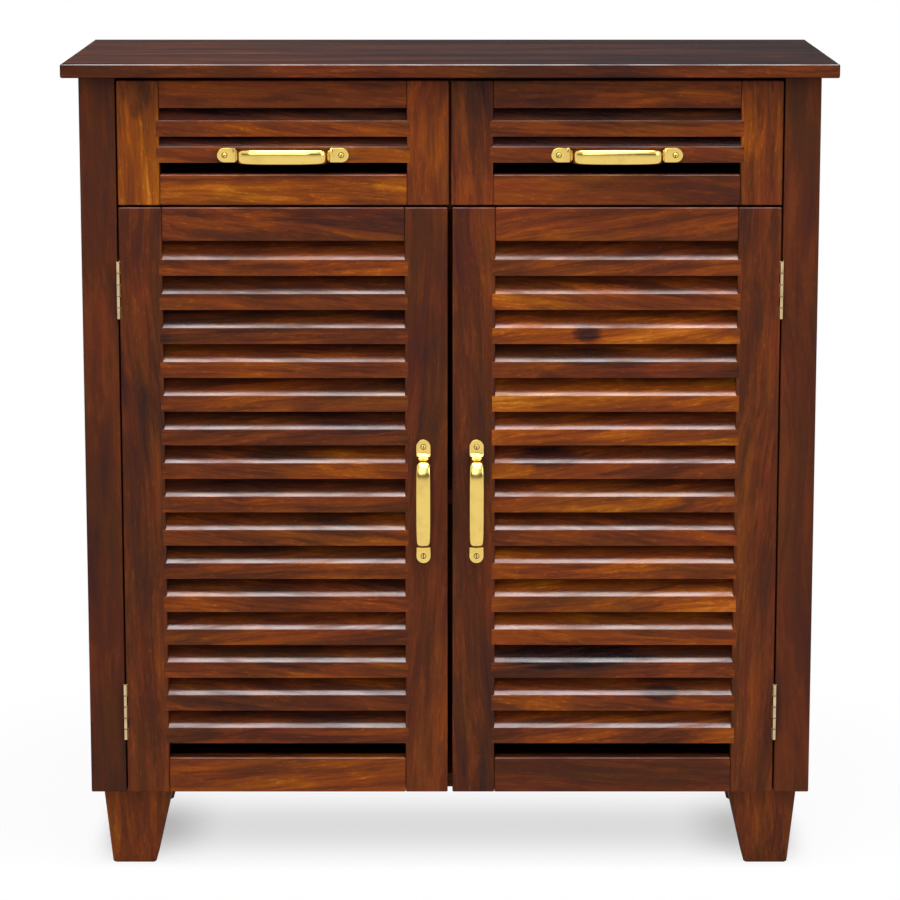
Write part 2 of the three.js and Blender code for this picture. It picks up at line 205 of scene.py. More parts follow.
def new_finish(name, surface):
    """A material, its node tree and its shader."""
    material = bpy.data.materials.new(name)
    material.use_nodes = True
    tree = material.node_tree
    shader = next(node for node in tree.nodes if node.type == "BSDF_PRINCIPLED")
    feed(shader, surface)
    return material, Shade(tree), shader


# The colours of the varnished wood, from its near-black streaks to its gold sapwood
WOOD_STOPS = (
    (0.00, (0.010, 0.005, 0.006)),
    (0.20, (0.032, 0.011, 0.008)),
    (0.38, (0.062, 0.016, 0.006)),
    (0.55, (0.110, 0.025, 0.007)),
    (0.72, (0.185, 0.042, 0.005)),
    (0.87, (0.285, 0.078, 0.006)),
    (1.00, (0.400, 0.140, 0.018)),
)
GOLDEN_TINT = (0.92, 1.20, 0.90)
ROSY_TINT = (1.02, 0.86, 1.16)
PORE_COLOUR = (0.008, 0.004, 0.003)

# The layers of the figure: how fine each is along and across the fibres, its detail and
# its strength
SWAY = (3.0, 8.0, 2.0, 0.042)
CLOUDS = (5.0, 22.0, 2.0, 0.55)
STREAKS = (8.0, 85.0, 3.0, 0.50)
LINES = (14.0, 300.0, 2.0, 0.36)
HUE = (6.0, 34.0, 2.0, 3.0)
PORES = (70.0, 1500.0, 1.0, 6.0)
RAGGED = (30.0, 110.0, 4.0, 3.2)
RUBBING = (16.0, 140.0, 3.0, 2.2)
SHEEN = (9.0, 14.0, 2.0, 0.10)
# Layers with edges: the same, with the noise at which the edge starts and ends before the
# strength, and what is taken off it after
VEINS = (6.0, 70.0, 4.0, (-0.03, 0.05), 0.13, 0.065)
FLAMES = (11.0, 34.0, 5.0, (0.02, 0.10), 0.08, 0.03)
FLECKS = (90.0, 420.0, 2.0, (0.09, 0.19), 0.13, 0.02)
# The fibres and pores have a strength for each thing that they change
FIBRES = (45.0, 1100.0, 2.0)
FIBRE_TONE = 0.24
FIBRE_SHEEN = 0.06
FIBRE_HEIGHT = 0.5
PORES_START = 0.9
PORE_DARKNESS = 0.45
GRAIN_HEIGHT = 0.0003
GRAIN_BUMP = 0.35
# The edge of a board's patch, in squares of its size
PATCH_EDGE = (1.45, 0.25)
# Thick varnish: how thick, and how far up a face looks where it starts and where it ends
POLISH_ON_EDGES = 0.80
SLANT_FROM = (0.20, 0.45)
SLANT_TO = (0.985, 0.90)


def edge_polish(shade, grain, flat):
    """How thick the varnish is: thin on flat faces, and thick on the edges and slopes
    that look up at a slant, where it was rubbed to an uneven gloss."""
    upward = shade.coordinates("Normal").parts()[Z]
    slant = upward.between(*SLANT_FROM) * upward.between(*SLANT_TO)
    rubbing = (grain.layer(*RUBBING) + POLISH_ON_EDGES).clamp()
    return slant * (rubbing - flat) + flat


def board_tone(shade, grain):
    """The board's own tone, with its one ragged patch of darker or lighter wood."""
    along, across, strength = shade.stored("patch").parts()
    reach = along * along + across * across + grain.layer(*RAGGED)
    return shade.stored("tone", "Fac") + strength * reach.between(*PATCH_EDGE)


def streaked_wood(name, gloss=0.12, roughness=0.42, broad=0.0, drawn_out=1.0, varnish=1.5,
                  solid=None):
    """Varnished hardwood. gloss is how thick its varnish is on flat faces, broad how far
    clouds take the place of fine lines in its figure, drawn_out how much longer that
    figure runs along a wide board, and varnish the varnish's index of refraction. Boards
    have their grain and tone stored in them. For a CAD solid, solid gives the order of
    its axes along, across and into the grain, its tone and how strong its figure is."""
    material, shade, shader = new_finish(name, {
        "Coat Roughness": 0.20, "Coat IOR": varnish, "Specular IOR Level": 0.0})

    def drawn(layer):
        return (layer[0] / drawn_out, *layer[1:])

    if solid:
        order, tone, strength = solid
        place = shade.coordinates("Object").parts()
        grain = shade.node("CombineXYZ", None, {
            into: place[axis] for into, axis in enumerate(order)})
    else:
        grain = shade.stored("grain")
        tone = board_tone(shade, grain)
        strength = shade.stored("figure", "Fac")
    sway = grain.layer(*SWAY)
    bent = grain.vector_math("ADD", grain.node("CombineXYZ", None, {
        "Y": sway, "Z": sway}))
    fibres = bent.noise(*FIBRES)
    fine = bent.layer(*STREAKS) + bent.layer(*LINES) + bent.edged_layer(*VEINS)
    figure = bent.layer(*drawn(CLOUDS)) * (1.0 + broad) + fine * (1.0 - broad)
    figure = figure + bent.edged_layer(*drawn(FLAMES)) + bent.edged_layer(*FLECKS)
    level = (tone + (figure + fibres * FIBRE_TONE) * strength).clamp()
    hue = bent.layer(*HUE)
    pits = (bent.layer(*PORES) - PORES_START).clamp()
    colour = level.ramp(WOOD_STOPS)
    colour = colour.blended("MULTIPLY", hue.clamp(), GOLDEN_TINT)
    colour = colour.blended("MULTIPLY", (hue * -1.0).clamp(), ROSY_TINT)
    colour = colour.blended("MIX", pits * PORE_DARKNESS, PORE_COLOUR)
    rubbed = (grain.layer(*SHEEN) + fibres * FIBRE_SHEEN + roughness).clamp()
    bump = shade.node("Bump", None, {
        "Strength": GRAIN_BUMP, "Distance": GRAIN_HEIGHT,
        "Height": fibres * FIBRE_HEIGHT - pits})
    feed(shader, {"Base Color": colour, "Roughness": rubbed, "Normal": bump,
                  "Coat Weight": edge_polish(shade, grain, gloss)})
    return material


# The brass: its tarnish in clouds and its brush marks, the facing at which painted shade darkens
# its flanks, and the specks of the dark colour that is partly dirt and partly painted shade
CLOUDING = (55.0, 55.0, 2.0)
CLOUDING_SHEEN = 0.04
BRUSHING = (240.0, 2200.0, 1.0)
BRUSHING_TONE = 0.25
BRUSHING_SHEEN = 0.06
FLANK_SHADE_FACING = (0.50, 0.80)
SPECKS = (900.0, 900.0, 2.0)
DIRT_AND_SHADE_STOPS = ((0.0, (0.020, 0.011, 0.004)), (1.0, (0.120, 0.070, 0.022)))


def brass(name, gold, dark, roughness, wear, clouding, lacquer=0.0, painted_flank_shade=0.0):
    """Brass rubbed to a satin, a little darker where it tarnished, and darker still by a given
    share where it faces sideways: painted shade on its flanks."""
    material, shade, shader = new_finish(name, {
        "Metallic": 1.0, "Coat Weight": lacquer, "Coat Roughness": 0.16, "Coat IOR": 1.5})
    place = shade.coordinates("Object")
    patches = place.noise(*CLOUDING)
    brushing = place.noise(*BRUSHING)
    tarnish_and_shade = patches * clouding + brushing * BRUSHING_TONE + wear
    # Painted shade: faces that look sideways are darkened, on top of the tarnish
    if painted_flank_shade:
        sideways = shade.coordinates("Normal").parts()[X].absolute()
        tarnish_and_shade = tarnish_and_shade + sideways.between(*FLANK_SHADE_FACING) * painted_flank_shade
    sheen = patches * CLOUDING_SHEEN + brushing * BRUSHING_SHEEN + roughness
    feed(shader, {"Base Color": tarnish_and_shade.clamp().ramp(((0.0, gold), (1.0, dark))),
                  "Roughness": sheen.clamp()})
    return material


def dirt_and_shade(name):
    """Dark colour in the screws' slots and round their heads and on the hinges' knuckle ends:
    partly dirt, partly painted shade of those recesses and joints.
    """
    material, shade, shader = new_finish(name, {"Metallic": 0.0, "Roughness": 0.8})
    specks = shade.coordinates("Object").noise(*SPECKS)
    feed(shader, {"Base Color": (specks + 0.5).ramp(DIRT_AND_SHADE_STOPS)})
    return material


def inside_wood(name, order, tone, figure=0.8):
    """Plainer wood, thinly varnished, for the boards that stay as solids."""
    return streaked_wood(name, gloss=0.08, roughness=0.5, drawn_out=1.8,
                         solid=(order, tone, figure))


WOOD = streaked_wood("varnished_sheesham")
TOP_WOOD = streaked_wood("varnished_top", gloss=0.035, broad=0.35, drawn_out=2.4, varnish=1.75)
PANEL_WOOD = streaked_wood("varnished_panel", drawn_out=2.2)
INSIDE_X = inside_wood("inside_boards", (X, Y, Z), 0.42)
INSIDE_Y = inside_wood("partition_board", (Y, Z, X), 0.42)
INSIDE_Z = inside_wood("back_boards", (Z, X, Y), 0.40)
SATIN_BRASS = brass("satin_brass", (0.84, 0.59, 0.14), (0.40, 0.23, 0.06), roughness=0.15,
                    wear=0.06, clouding=0.7, lacquer=0.7)
# The hinges' brass is darkened where it faces sideways: painted shade on its flanks
AGED_BRASS = brass("aged_brass", (0.70, 0.50, 0.28), (0.10, 0.06, 0.02), roughness=0.22,
                   wear=0.12, clouding=1.0, painted_flank_shade=1.0)
# Dirt and painted shade for the screws' slots and rings and the knuckles' ends
SLOT_DIRT_AND_SHADE = dirt_and_shade("slot_dirt_and_shade")


def in_scene(name, data):
    """An object in the scene that shows a mesh, a lamp or a camera."""
    obj = bpy.data.objects.new(name, data)
    bpy.context.scene.collection.objects.link(obj)
    return obj


def link(name, mesh, finishes, body, nodes=()):
    """Puts a piece in the scene, with its finishes, its body and what it replaces."""
    while len(mesh.materials) < len(finishes):
        mesh.materials.append(None)
    for number, finish in enumerate(finishes):
        mesh.materials[number] = finish
    obj = in_scene(name, mesh)
    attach(obj, body)
    if nodes:
        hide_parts(*nodes)


def corners(node):
    """A node's lowest and highest corners at rest."""
    return [Vector(corner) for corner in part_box(node)]


def turned(u, v, angle):
    """A point turned about the origin by an angle."""
    return (u * math.cos(angle) - v * math.sin(angle),
            u * math.sin(angle) + v * math.cos(angle))


def skin(bm, rings):
    """Faces between rings of points in turn and over both ends, given back in rows."""
    rows = []
    for ring, following in zip(rings, rings[1:]):
        row = []
        for index in range(len(ring)):
            other = (index + 1) % len(ring)
            row.append(bm.faces.new((ring[index], ring[other], following[other],
                                     following[index])))
        rows.append(row)
    rows.append([bm.faces.new(rings[0][::-1]), bm.faces.new(rings[-1])])
    return rows


def mesh_of(bm, name):
    """The mesh of a bmesh, with every face outwards."""
    bmesh.ops.recalc_face_normals(bm, faces=bm.faces)
    mesh = bpy.data.meshes.new(name)
    bm.to_mesh(mesh)
    bm.free()
    return mesh


def smooth_mesh(bm, name):
    """The mesh of a bmesh, smooth where its faces meet at a low angle."""
    mesh = mesh_of(bm, name)
    mesh.shade_smooth()
    mesh.set_sharp_from_angle(angle=SMOOTH_ANGLE)
    return mesh


# Patches of darker or lighter wood: a share along and across the board, half its length
# and half its width in metres, and how much lighter it is
PATCHES = {
    "left_drawer_outer_stile": (0.90, 0.45, 0.026, 0.016, -0.24),
    "left_drawer_bottom_rail": (0.55, 0.45, 0.090, 0.012, 0.10),
    "left_drawer_inner_stile": (0.55, 0.60, 0.040, 0.016, 0.08),
    "right_drawer_top_rail": (0.52, 0.30, 0.050, 0.010, 0.14),
    "right_drawer_outer_stile": (0.60, 0.15, 0.050, 0.012, 0.12),
    "right_drawer_bottom_rail": (0.10, 0.50, 0.060, 0.014, 0.10),
    "right_door_slat_03_board": (0.38, 0.34, 0.017, 0.010, -0.44),
    "right_door_slat_04_board": (0.45, 0.55, 0.060, 0.012, -0.16),
    "right_door_slat_07_board": (0.22, 0.62, 0.038, 0.012, -0.34),
    "right_door_slat_13_board": (0.33, 0.66, 0.080, 0.014, -0.32),
    "right_door_slat_14_board": (0.70, 0.50, 0.020, 0.010, -0.30),
    "left_door_slat_07_board": (0.50, 0.60, 0.050, 0.010, -0.20),
    "left_door_slat_08_board": (0.22, 0.70, 0.080, 0.012, -0.20),
    "left_door_slat_11_board": (0.20, 0.50, 0.060, 0.020, 0.12),
    "left_door_slat_13_board": (0.55, 0.60, 0.050, 0.014, -0.20),
    "right_door_lock_stile": (0.12, 0.50, 0.060, 0.014, 0.08),
    "right_door_hinge_stile": (0.70, 0.70, 0.100, 0.010, 0.08),
    "left_door_hinge_stile": (0.25, 0.80, 0.090, 0.016, 0.12),
    "left_front_post": (0.62, 0.30, 0.100, 0.016, 0.10),
}
NO_PATCH = (0.5, 0.5, 1.0, 1.0, 0.0)
# Across and into the board, for a grain along each axis
CROSSWAYS = {X: (Z, Y), Y: (Z, X), Z: (X, Y)}
# How far apart in the grain two boards may lie
GRAIN_SPREAD = 5


def tone_along(tones, share):
    """The tone at a share of a board's length."""
    place = min(max(share, 0.0), 1.0) * (len(tones) - 1)
    step = min(int(place), len(tones) - 2)
    return tones[step] + (tones[step + 1] - tones[step]) * (place - step)


def write_grain(mesh, low, high, along, tones, slant, seed, figure=1.0):
    """Stores where each point lies in the grain of its board, the board's tone there, its
    patch and how strong its figure is."""
    rng = random.Random(seed)
    shift = Vector([rng.uniform(-GRAIN_SPREAD, GRAIN_SPREAD) for _ in range(3)])
    across, into = CROSSWAYS[along]
    length = high[along] - low[along]
    width = high[across] - low[across]
    patch_along, patch_across, half_length, half_width, strength = PATCHES.get(seed, NO_PATCH)
    places = []
    levels = []
    patches = []
    for vertex in mesh.vertices:
        u, v, w = (vertex.co[axis] - low[axis] for axis in (along, across, into))
        places.extend(Vector((*turned(u, v, slant), w)) + shift)
        levels.append(tone_along(tones, u / length))
        patches.extend(((u - length * patch_along) / half_length,
                        (v - width * patch_across) / half_width, strength))
    strengths = [figure] * len(mesh.vertices)
    for name, values in (("grain", places), ("patch", patches)):
        mesh.attributes.new(name, "FLOAT_VECTOR", "POINT").data.foreach_set("vector", values)
    for name, values in (("tone", levels), ("figure", strengths)):
        mesh.attributes.new(name, "FLOAT", "POINT").data.foreach_set("value", values)


def corner_normals(mesh, round_normal):
    """Shades the eased edges as true rounds and leaves the faces flat. round_normal gives
    a point's normal on a round, or None where it lies on no round."""
    mesh.shade_smooth()
    normals = [None] * len(mesh.loops)
    for polygon in mesh.polygons:
        for corner in polygon.loop_indices:
            smooth = round_normal(mesh.vertices[mesh.loops[corner].vertex_index].co)
            if smooth is None or smooth.dot(polygon.normal) < math.cos(ROUND_ANGLE):
                smooth = polygon.normal
            normals[corner] = smooth.copy()
    mesh.normals_split_custom_set(normals)


def round_off(mesh, low, high, ease):
    """Gives a board with eased edges the shading of a rounded box."""
    inner_low = [value + ease for value in low]
    inner_high = [value - ease for value in high]

    def round_normal(place):
        nearest = [min(max(p, a), b) for p, a, b in zip(place, inner_low, inner_high)]
        away = place - Vector(nearest)
        return away.normalized() if away.length > ease / 2 else None

    corner_normals(mesh, round_normal)


def cut_across(bm, low, high, along, lengths):
    """Cuts a board across into equal lengths, so that its tone can change."""
    normal = Vector([1.0 if axis == along else 0.0 for axis in range(3)])
    for step in range(1, lengths):
        place = normal * (low[along] + (high[along] - low[along]) * step / lengths)
        bmesh.ops.bisect_plane(bm, geom=bm.verts[:] + bm.edges[:] + bm.faces[:],
                               plane_co=place, plane_no=normal)


def board_mesh(name, low, high, along, ease, lengths=1):
    """A board with eased edges, in lengths that are joined end to end."""
    bm = bmesh.new()
    bmesh.ops.create_cube(bm, size=1.0)
    size = [b - a for a, b in zip(low, high)]
    middle = [(a + b) / 2 for a, b in zip(low, high)]
    bmesh.ops.transform(bm, verts=bm.verts, matrix=(
        Matrix.Translation(middle) @ Matrix.Diagonal((*size, 1))))
    if ease:
        bmesh.ops.bevel(bm, geom=bm.edges[:], offset=ease, segments=EASE_STEPS, profile=0.5,
                        affect="EDGES")
    cut_across(bm, low, high, along, lengths)
    return mesh_of(bm, name)


def board(name, low, high, along, body, slot, tones, slant=0.0, figure=1.0, ease=EASE,
          nodes=(), grooves=None, finish=WOOD):
    """A board whose grain runs along one axis, made between two corners. Its tones go
    from one end to the other."""
    mesh = board_mesh(name, low, high, along, ease, len(tones) - 1)
    if grooves is not None:
        mesh = carved(mesh, grooves, name)
    write_grain(mesh, low, high, along, tones, slant, name, figure)
    if ease:
        round_off(mesh, low, high, ease)
    link(name, mesh, (finish,), body, nodes)


def carved(mesh, cutter_mesh, name):
    """A mesh with another cut out of it."""
    blank = in_scene("blank", mesh)
    cutter = in_scene("cutter", cutter_mesh)
    modifier = blank.modifiers.new("cut", "BOOLEAN")
    modifier.operation = "DIFFERENCE"
    modifier.solver = "EXACT"
    modifier.material_mode = "TRANSFER"
    modifier.object = cutter
    bpy.context.view_layer.update()
    evaluated = blank.evaluated_get(bpy.context.evaluated_depsgraph_get())
    result = bpy.data.meshes.new_from_object(evaluated)
    bpy.data.objects.remove(blank)
    bpy.data.objects.remove(cutter)
    result.name = name
    return result


def prism(bm, section, x_low, x_high):
    """Adds a prism along X over a section of (y, z) points in turn."""
    skin(bm, [[bm.verts.new((x, y, z)) for y, z in section] for x in (x_low, x_high)])


def arc(middle, radius, start, end, steps):
    """Points round an arc, with angles in degrees."""
    made = []
    for step in range(steps + 1):
        angle = math.radians(start + (end - start) * step / steps)
        made.append((middle[0] + radius * math.cos(angle), middle[1] + radius * math.sin(angle)))
    return made


def slat_round(front, level):
    """The middle of the round on a slat's front top arris, as (y, z)."""
    return front + SLAT_ROUND, level - SLAT_ROUND * math.tan(SLAT_SLOPE / 2)


def slat_section(front, level, depth, face):
    """The section of a slat, with its front top arris rounded over."""
    rise = depth * math.tan(SLAT_SLOPE)
    round_over = arc(slat_round(front, level), SLAT_ROUND, 180,
                     90 + math.degrees(SLAT_SLOPE), SLAT_ROUND_STEPS)
    back = front + depth
    top = level + rise - SLAT_CHAMFER
    return ([(front + SLAT_TRIM, level - face + SLAT_TRIM), (front, level - face + SLAT_TRIM)]
            + round_over
            + [(back - SLAT_CHAMFER, top), (back, top), (back, level + rise - face)])


# How far a slat's tone drifts along it and its grain leans, how much painted shade darkens
# its slope at the back, and the share of that at the front
SLAT_TONES = 4
SLAT_DRIFT = 0.09
SLAT_LEAN = 0.16
DRAWER_SLAT_PAINTED_SHADE = 0.52
DOOR_SLAT_PAINTED_SHADE = 0.05
SLOPE_START_SHARE = 0.4
SLOPE_START = SLAT_TRIM * 1.5


def make_slat(name, seed, x_low, x_high, front, level, depth, face, body, tone, painted_shade,
              nodes=()):
    """A louvre slat that rises from its front face towards the back, its slope darkened
    towards the back by painted shade."""
    rng = random.Random(seed)
    tones = [tone + rng.uniform(-SLAT_DRIFT, SLAT_DRIFT) for _ in range(SLAT_TONES)]
    low = Vector((x_low, front, level - face))
    high = Vector((x_high, front + depth, level + depth * math.tan(SLAT_SLOPE)))
    bm = bmesh.new()
    prism(bm, slat_section(front, level, depth, face), x_low, x_high)
    cut_across(bm, low, high, X, len(tones) - 1)
    mesh = mesh_of(bm, name)
    write_grain(mesh, low, high, X, tones, rng.uniform(-SLAT_LEAN, SLAT_LEAN), name)
    levels = mesh.attributes["tone"].data
    # Painted shade: the slope darkens from its front towards the back, where the slat above
    # shades it
    for vertex in mesh.vertices:
        inwards = vertex.co.y - front
        if inwards > SLOPE_START:
            share = SLOPE_START_SHARE + (1 - SLOPE_START_SHARE) * inwards / depth
            levels[vertex.index].value -= painted_shade * share
    middle = slat_round(front, level)

    def round_normal(place):
        away = Vector((0, place.y - middle[0], place.z - middle[1]))
        on_round = abs(away.length - SLAT_ROUND) < SLAT_ROUND_PLAY
        return away.normalized() if on_round else None

    corner_normals(mesh, round_normal)
    link(name, mesh, (WOOD,), body, nodes)


def groove_mesh(x_low, x_high, front, back, levels, face, depth):
    """The slanted grooves for the slats' ends, over one stile's inner edge. They run
    through the stile where no depth is given."""
    bm = bmesh.new()
    slope = math.tan(SLAT_SLOPE)
    reach = (back - front + OVERRUN) if depth is None else depth + GROOVE_PLAY
    for level in levels:
        under = level - face - GROOVE_PLAY
        over = level + GROOVE_PLAY
        section = [(front - OVERRUN, under - OVERRUN * slope),
                   (front - OVERRUN, over - OVERRUN * slope),
                   (front + reach, over + reach * slope),
                   (front + reach, under + reach * slope)]
        prism(bm, section, x_low, x_high)
    return mesh_of(bm, "grooves")


def framed_front(body, node, framing, tones, levels, face, depth, stiles):
    """Two stiles with two rails between them, the stiles grooved for the slats."""
    stile, top_rail, bottom_rail = framing
    low, high = corners(node)
    left_edge = low.x + stile
    right_edge = high.x - stile
    housing = SLAT_HOUSING + GROOVE_PLAY
    spans = ((low.x, left_edge, left_edge - housing, left_edge + OVERRUN),
             (right_edge, high.x, right_edge - OVERRUN, right_edge + housing))
    for key, (x_low, x_high, *ends) in zip(stiles, spans):
        board(f"{body}_{key}", (x_low, low.y, low.z), (x_high, high.y, high.z), Z, body,
              "frame_wood", *tones[key], nodes=(node,) if key == stiles[0] else (),
              grooves=groove_mesh(*ends, low.y, high.y, levels, face, depth))
    rails = {"top_rail": (high.z - top_rail, high.z), "bottom_rail": (low.z, low.z + bottom_rail)}
    for key, (z_low, z_high) in rails.items():
        board(f"{body}_{key}", (left_edge + JOINT_GAP, low.y, z_low),
              (right_edge - JOINT_GAP, high.y, z_high), X, body, "frame_wood", *tones[key])


# Each board's tones from one end to the other, the slant of its grain in radians and how
# strong its figure is
DOOR_TONES = {
    "left": {
        "hinge_stile": ((0.54, 0.45, 0.40, 0.41, 0.42), 0.05, 0.80),
        "lock_stile": ((0.52, 0.49, 0.43, 0.36, 0.38), -0.04, 0.65),
        "top_rail": ((0.46, 0.52, 0.41), 0.12, 1.00),
        "bottom_rail": ((0.66, 0.62, 0.70), -0.10, 1.00),
    },
    "right": {
        "hinge_stile": ((0.50, 0.49, 0.49, 0.44), -0.05, 0.80),
        "lock_stile": ((0.36, 0.40, 0.39, 0.43), 0.06, 0.75),
        "top_rail": ((0.62, 0.55, 0.50), -0.14, 0.90),
        "bottom_rail": ((0.45, 0.42, 0.44), 0.08, 0.80),
    },
}
DRAWER_TONES = {
    "left": {
        "outer_stile": ((0.74, 0.76, 0.62), 0.03, 0.85),
        "inner_stile": ((0.51, 0.57, 0.55), 0.03, 0.80),
        "top_rail": ((0.54, 0.52, 0.48), 0.04, 0.80),
        "bottom_rail": ((0.65, 0.69, 0.62), 0.04, 1.00),
    },
    "right": {
        "outer_stile": ((0.52, 0.60, 0.54), 0.03, 0.90),
        "inner_stile": ((0.56, 0.54, 0.46), 0.04, 0.90),
        "top_rail": ((0.42, 0.52, 0.42), 0.05, 0.90),
        "bottom_rail": ((0.57, 0.48, 0.44), 0.04, 0.80),
    },
}
DRAWER_SLAT_TONES = {"left": (0.55, 0.63), "right": (0.62, 0.54)}
DOOR_SLAT_TONES = {
    "left": (0.57, 0.52, 0.44, 0.61, 0.51, 0.50, 0.57, 0.62, 0.61, 0.53, 0.54, 0.53, 0.56,
             0.53, 0.48),
    "right": (0.66, 0.56, 0.68, 0.46, 0.73, 0.63, 0.58, 0.60, 0.55, 0.63, 0.74, 0.71, 0.45,
              0.65, 0.65),
}
BOX_TONES = (0.44, 0.40)
POST_TONES = {"left": (0.36, 0.36, 0.40, 0.38), "right": (0.44, 0.42, 0.40, 0.38)}
POST_SLANT = 0.02
POST_FIGURE = 0.50
SIDE_RAIL_LOOK = ((0.38, 0.42, 0.40), 0.05)
SIDE_PANEL_LOOK = ((0.40, 0.46, 0.42, 0.40), 0.03)
STRIP_TONES = (0.38, 0.38)
TOP_TONES = (0.27, 0.26, 0.21, 0.13, 0.08)
TOP_EDGE_TONES = (0.63, 0.49, 0.39, 0.30, 0.56)
TOP_SLANT = 0.03
TOP_FIGURE = 1.15
LEG_TONES = {"left": (0.66, 0.62), "right": (0.53, 0.52)}
LEG_SLANT = 0.05
LEG_FIGURE = 0.8


def left_first(hand, outer, inner):
    """The outer and the inner piece of one side's front, the left one first."""
    return (outer, inner) if hand == "left" else (inner, outer)


def dress_door(hand):
    body = f"{hand}_door"
    low, high = corners(f"{hand}_door_frame")
    levels = []
    for number in range(1, DOOR_SLATS + 1):
        node = f"{hand}_door_slat_{number:02d}"
        slat_low, slat_high = corners(node)
        level = slat_low.z + DOOR_SLAT_FACE - SLAT_CHAMFER
        levels.append(level)
        make_slat(f"{node}_board", node, slat_low.x, slat_high.x, low.y, level,
                  high.y - low.y, DOOR_SLAT_FACE, body, DOOR_SLAT_TONES[hand][number - 1],
                  DOOR_SLAT_PAINTED_SHADE, (node,))
    framed_front(body, f"{hand}_door_frame", DOOR_FRAMING, DOOR_TONES[hand], levels,
                 DOOR_SLAT_FACE, None, left_first(hand, "hinge_stile", "lock_stile"))


def dress_drawer(hand):
    body = f"{hand}_drawer"
    low, high = corners(f"{hand}_drawer_front")
    stile, top_rail, bottom_rail = DRAWER_FRAMING
    rise = DRAWER_SLAT_DEPTH * math.tan(SLAT_SLOPE)
    levels = (high.z - top_rail - SLAT_HEAD_GAP - rise,
              low.z + bottom_rail + DRAWER_LAST_GAP + DRAWER_SLAT_FACE)
    for number, (level, tone) in enumerate(zip(levels, DRAWER_SLAT_TONES[hand]), 1):
        name = f"{hand}_drawer_slat_{number:02d}_board"
        make_slat(name, name, low.x + stile - SLAT_HOUSING, high.x - stile + SLAT_HOUSING,
                  low.y, level, DRAWER_SLAT_DEPTH, DRAWER_SLAT_FACE, body, tone,
                  DRAWER_SLAT_PAINTED_SHADE)
    framed_front(body, f"{hand}_drawer_front", DRAWER_FRAMING, DRAWER_TONES[hand], levels,
                 DRAWER_SLAT_FACE, DRAWER_SLAT_DEPTH,
                 left_first(hand, "outer_stile", "inner_stile"))
    node = f"{hand}_drawer_box"
    low, high = corners(node)
    inner_left = low.x + BOX_WALL
    inner_right = high.x - BOX_WALL
    inner_back = high.y - BOX_WALL
    bottom = low.z + BOX_BOTTOM_RAISE
    walls = {
        "left_wall": (low, (inner_left, high.y, high.z), Y),
        "right_wall": ((inner_right, low.y, low.z), high, Y),
        "back_wall": ((inner_left, inner_back, low.z), (inner_right, high.y, high.z), X),
        "bottom": ((inner_left, low.y, bottom),
                   (inner_right, inner_back, bottom + BOX_BOTTOM_THICKNESS), X),
    }
    for key, (corner, far, along) in walls.items():
        board(f"{body}_{key}", corner, far, along, body, "inside_wood", BOX_TONES,
              nodes=(node,) if key == "left_wall" else ())


def dress_side(hand):
    """Two posts, two rails, a panel and the strips inside, for one side."""
    node = f"{hand}_side"
    side = HANDS[hand]
    low, high = corners(node)
    inner, outer = (low.x, high.x) if hand == "right" else (high.x, low.x)
    y_low = low.y + POST_DEPTH
    y_high = high.y - POST_DEPTH
    for key, *depths in (("front_post", low.y, y_low), ("rear_post", y_high, high.y)):
        board(f"{hand}_{key}", (low.x, depths[0], low.z), (high.x, depths[1], high.z), Z,
              "carcass", "carcass_wood", POST_TONES[hand], POST_SLANT, POST_FIGURE,
              nodes=(node,) if key == "front_post" else ())

    def between_posts(key, x_ends, z_low, z_high, along, slot, *look, **more):
        x_low, x_high = sorted(x_ends)
        board(f"{hand}_{key}", (x_low, y_low + JOINT_GAP, z_low),
              (x_high, y_high - JOINT_GAP, z_high), along, "carcass", slot, *look, **more)

    rail_ends = (outer, outer - side * SIDE_RAIL_THICKNESS)
    over_rail = low.z + SIDE_RAIL_HEIGHT
    under_rail = high.z - SIDE_RAIL_HEIGHT
    for key, *heights in (("side_bottom_rail", low.z, over_rail),
                          ("side_top_rail", under_rail, high.z)):
        between_posts(key, rail_ends, *heights, Y, "carcass_wood", *SIDE_RAIL_LOOK)
    panel = outer - side * SIDE_PANEL_SET_IN
    between_posts("side_panel", (panel, panel - side * SIDE_PANEL_THICKNESS), over_rail,
                  under_rail, Z, "carcass_wood", *SIDE_PANEL_LOOK, ease=0, finish=PANEL_WOOD)
    deck_low, deck_high = corners("drawer_deck")
    shelf_low, _ = corners("shelf")
    strips = {
        "deck_cleat": (deck_low.z - GROOVE_CLEARANCE - CLEAT_HEIGHT, CLEAT_HEIGHT),
        "shelf_cleat": (shelf_low.z - GROOVE_CLEARANCE - CLEAT_HEIGHT, CLEAT_HEIGHT),
        "drawer_guide": (deck_high.z + GROOVE_CLEARANCE, GUIDE_HEIGHT),
    }
    for key, (z_low, height) in strips.items():
        between_posts(key, (inner, inner + side * STRIP_WIDTH), z_low, z_low + height, Y,
                      "inside_wood", STRIP_TONES)


def dress_top():
    """The top, one wide board with its grain along it and its own tones on the front."""
    low, high = corners("top_panel")
    mesh = board_mesh("top_board", low, high, X, TOP_EASE, len(TOP_TONES) - 1)
    write_grain(mesh, low, high, X, TOP_TONES, TOP_SLANT, "top", TOP_FIGURE)
    tones = mesh.attributes["tone"].data
    for vertex in mesh.vertices:
        if vertex.co.y < low.y + TOP_EASE / 2:
            share = (vertex.co.x - low.x) / (high.x - low.x)
            tones[vertex.index].value = tone_along(TOP_EDGE_TONES, share)
    round_off(mesh, low, high, TOP_EASE)
    link("top_board", mesh, (TOP_WOOD,), "carcass", ("top_panel",))


def dress_inside():
    """The boards between the sides, in plain wood."""
    finishes = {"bottom_panel": INSIDE_X, "drawer_deck": INSIDE_X, "shelf": INSIDE_X,
                "drawer_partition": INSIDE_Y, "back_panel": INSIDE_Z}
    for node, finish in finishes.items():
        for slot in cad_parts[node].material_slots:
            slot.material = finish


def cornered_square(half, corner):
    """The points in turn of a square whose corners are cut."""
    cut = half - corner
    return ((-half, -cut), (-cut, -half), (cut, -half), (half, -cut),
            (half, cut), (cut, half), (-cut, half), (-half, cut))


